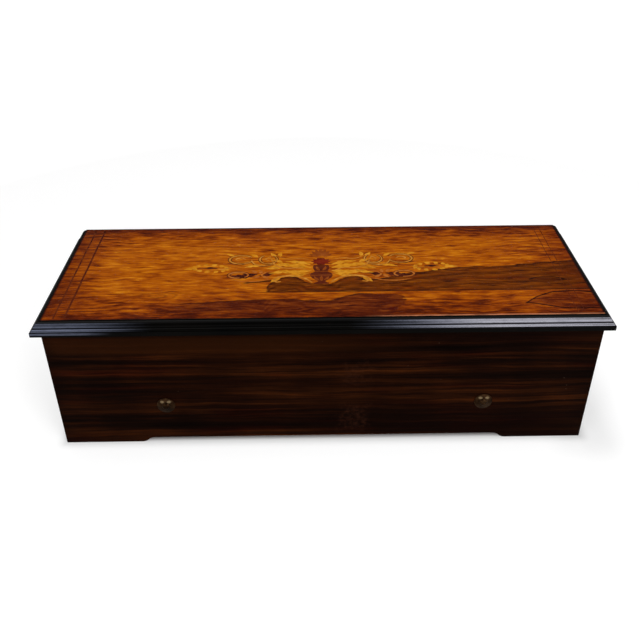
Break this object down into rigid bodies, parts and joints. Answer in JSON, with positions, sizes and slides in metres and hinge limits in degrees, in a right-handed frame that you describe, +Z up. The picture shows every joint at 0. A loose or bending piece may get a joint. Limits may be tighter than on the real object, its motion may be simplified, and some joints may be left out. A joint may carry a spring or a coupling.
{
  "type": "lever-wound cylinder musical box",
  "caption": "Long rosewood musical box on low feet with a marquetry lid, glazed inner lid, comb, pinned cylinder, spring barrel and air-brake governor.",
  "frame": {"origin": "on the table, under the middle of the bounding box", "axes": "+X to the player's right along the case's length, +Y to the back, +Z up"},
  "size_m": [0.5756, 0.2084, 0.1587],
  "materials": {
    "rosewood_veneer": "French polished",
    "figured_veneer": "French polished",
    "ebonised_wood": "polished black",
    "plain_pine": "stained",
    "card": "matte",
    "pane_glass": "clear",
    "hinge_brass": "satin",
    "hinge_steel": "satin",
    "bronzed_brass": "tarnished",
    "bed_brass": "satin lacquer",
    "wheel_brass": "polished",
    "cylinder_brass": "brushed",
    "pin_steel": "bright",
    "comb_steel": "ground",
    "lead": "dull grey",
    "blued_steel": "blued",
    "bright_steel": "polished",
    "lever_iron": "black japanned",
    "grip_wood": "turned and polished"
  },
  "bodies": {
    "case": {"front_panel": "rosewood_veneer", "rear_panel": "rosewood_veneer", "left_end": "rosewood_veneer", "right_end": "rosewood_veneer", "bottom_board": "plain_pine", "left_partition": "plain_pine", "right_partition": "plain_pine", "glass_rest_batten": "plain_pine", "case_hinge_leaves": "hinge_brass", "lid_hinge_pins": "hinge_steel", "glass_hinge_case_leaves": "hinge_brass", "glass_hinge_pins": "hinge_steel", "movement_bolts": "bronzed_brass", "bolt_washers": "bronzed_brass", "bedplate": "bed_brass", "comb_base": "bed_brass", "comb": "comb_steel", "comb_weights": "lead", "movement_screws": "blued_steel", "barrel_bridge": "bed_brass", "centre_bridge": "bed_brass", "cylinder_bridge": "bed_brass", "governor_frame": "wheel_brass", "governor_cock": "wheel_brass", "pivot_studs": "bright_steel"},
    "lid": {"lid_board": "figured_veneer", "lid_moulding_front": "ebonised_wood", "lid_moulding_left": "ebonised_wood", "lid_moulding_right": "ebonised_wood", "lid_hinge_leaves": "hinge_brass", "tune_sheet": "card"},
    "glass_lid": {"glass_lid_frame": "ebonised_wood", "glass_pane": "pane_glass", "glass_hinge_frame_leaves": "hinge_brass", "glass_lid_knob": "hinge_brass"},
    "barrel": {"spring_barrel": "wheel_brass", "barrel_cover": "wheel_brass", "mainspring": "blued_steel"},
    "winding_shaft": {"winding_arbor": "bright_steel", "ratchet_wheel": "bright_steel", "arbor_nut": "bright_steel"},
    "winding_handle": {"winding_lever": "lever_iron", "lever_grip": "grip_wood"},
    "driving_claw": {"driving_pawl": "bright_steel"},
    "holding_claw": {"holding_pawl": "bright_steel"},
    "cylinder_shaft": {"cylinder_arbor": "bright_steel", "cylinder_pinion": "bright_steel", "cylinder_wheel": "wheel_brass"},
    "cylinder": {"cylinder_tube": "cylinder_brass", "cylinder_caps": "cylinder_brass", "cylinder_pins": "pin_steel"},
    "snail": {"tune_snail": "wheel_brass"},
    "first_shaft": {"first_staff": "bright_steel", "first_wheel": "wheel_brass"},
    "second_shaft": {"second_staff": "bright_steel", "second_wheel": "wheel_brass"},
    "air_brake": {"worm_staff": "bright_steel", "fan": "wheel_brass"},
    "start_control": {"start_lever": "wheel_brass"},
    "change_control": {"change_lever": "wheel_brass"}
  },
  "joints": [
    {"name": "lid_hinge", "type": "hinge", "parent": "case", "child": "lid", "pos_m": [0, 0.10225, 0.145], "axis": [-1, 0, 0], "range_deg": [0, 98]},
    {"name": "glass_lid_hinge", "type": "hinge", "parent": "case", "child": "glass_lid", "pos_m": [0, 0.08715, 0.1395], "axis": [-1, 0, 0], "range_deg": [0, 90]},
    {"name": "cylinder_turn", "type": "hinge", "parent": "case", "child": "cylinder_shaft", "pos_m": [0, 0.02, 0.09], "axis": [1, 0, 0], "continuous": true},
    {"name": "cylinder_shift", "type": "slide", "parent": "cylinder_shaft", "child": "cylinder", "axis": [-1, 0, 0], "range_m": [0, 0.0029]},
    {"name": "snail_turn", "type": "hinge", "parent": "cylinder_shaft", "child": "snail", "pos_m": [0.15, 0.0335, 0.09], "axis": [1, 0, 0], "range_deg": [0, 300]},
    {"name": "barrel_turn", "type": "hinge", "parent": "case", "child": "barrel", "pos_m": [-0.15, -0.0205, 0.09], "axis": [1, 0, 0], "continuous": true},
    {"name": "first_staff_turn", "type": "hinge", "parent": "case", "child": "first_shaft", "pos_m": [0.16, 0.0536, 0.09], "axis": [1, 0, 0], "continuous": true},
    {"name": "second_staff_turn", "type": "hinge", "parent": "case", "child": "second_shaft", "pos_m": [0.16, 0.06235, 0.07484], "axis": [1, 0, 0], "continuous": true},
    {"name": "fan_turn", "type": "hinge", "parent": "case", "child": "air_brake", "pos_m": [0.16885, 0.07485, 0.09], "axis": [0, 0, 1], "continuous": true},
    {"name": "winding_shaft_turn", "type": "hinge", "parent": "case", "child": "winding_shaft", "pos_m": [-0.195, -0.0205, 0.09], "axis": [1, 0, 0], "continuous": true},
    {"name": "winding_lever_swing", "type": "hinge", "parent": "case", "child": "winding_handle", "pos_m": [-0.22135, -0.0205, 0.09], "axis": [1, 0, 0], "range_deg": [-20, 32]},
    {"name": "driving_pawl_swing", "type": "hinge", "parent": "winding_handle", "child": "driving_claw", "pos_m": [-0.21485, -0.0095, 0.10905], "axis": [-1, 0, 0], "range_deg": [0, 12]},
    {"name": "holding_pawl_swing", "type": "hinge", "parent": "case", "child": "holding_claw", "pos_m": [-0.21485, -0.03464, 0.07315], "axis": [-1, 0, 0], "range_deg": [0, 12]},
    {"name": "start_lever_swing", "type": "hinge", "parent": "case", "child": "start_control", "pos_m": [0.17785, -0.03, 0.0635], "axis": [0, 0, 1], "range_deg": [-8, 8]},
    {"name": "change_lever_swing", "type": "hinge", "parent": "case", "child": "change_control", "pos_m": [0.17785, -0.052, 0.0635], "axis": [0, 0, 1], "range_deg": [-8, 8]}
  ],
  "couplings": [
    {"joint": "glass_lid_hinge", "follows": "lid_hinge", "ratio": 0.9},
    {"joint": "barrel_turn", "follows": "cylinder_turn", "ratio": -0.25},
    {"joint": "first_staff_turn", "follows": "cylinder_turn", "ratio": -6},
    {"joint": "second_staff_turn", "follows": "cylinder_turn", "ratio": 36},
    {"joint": "snail_turn", "follows": "cylinder_shift", "rad_per_m": 1805.4}
  ]
}
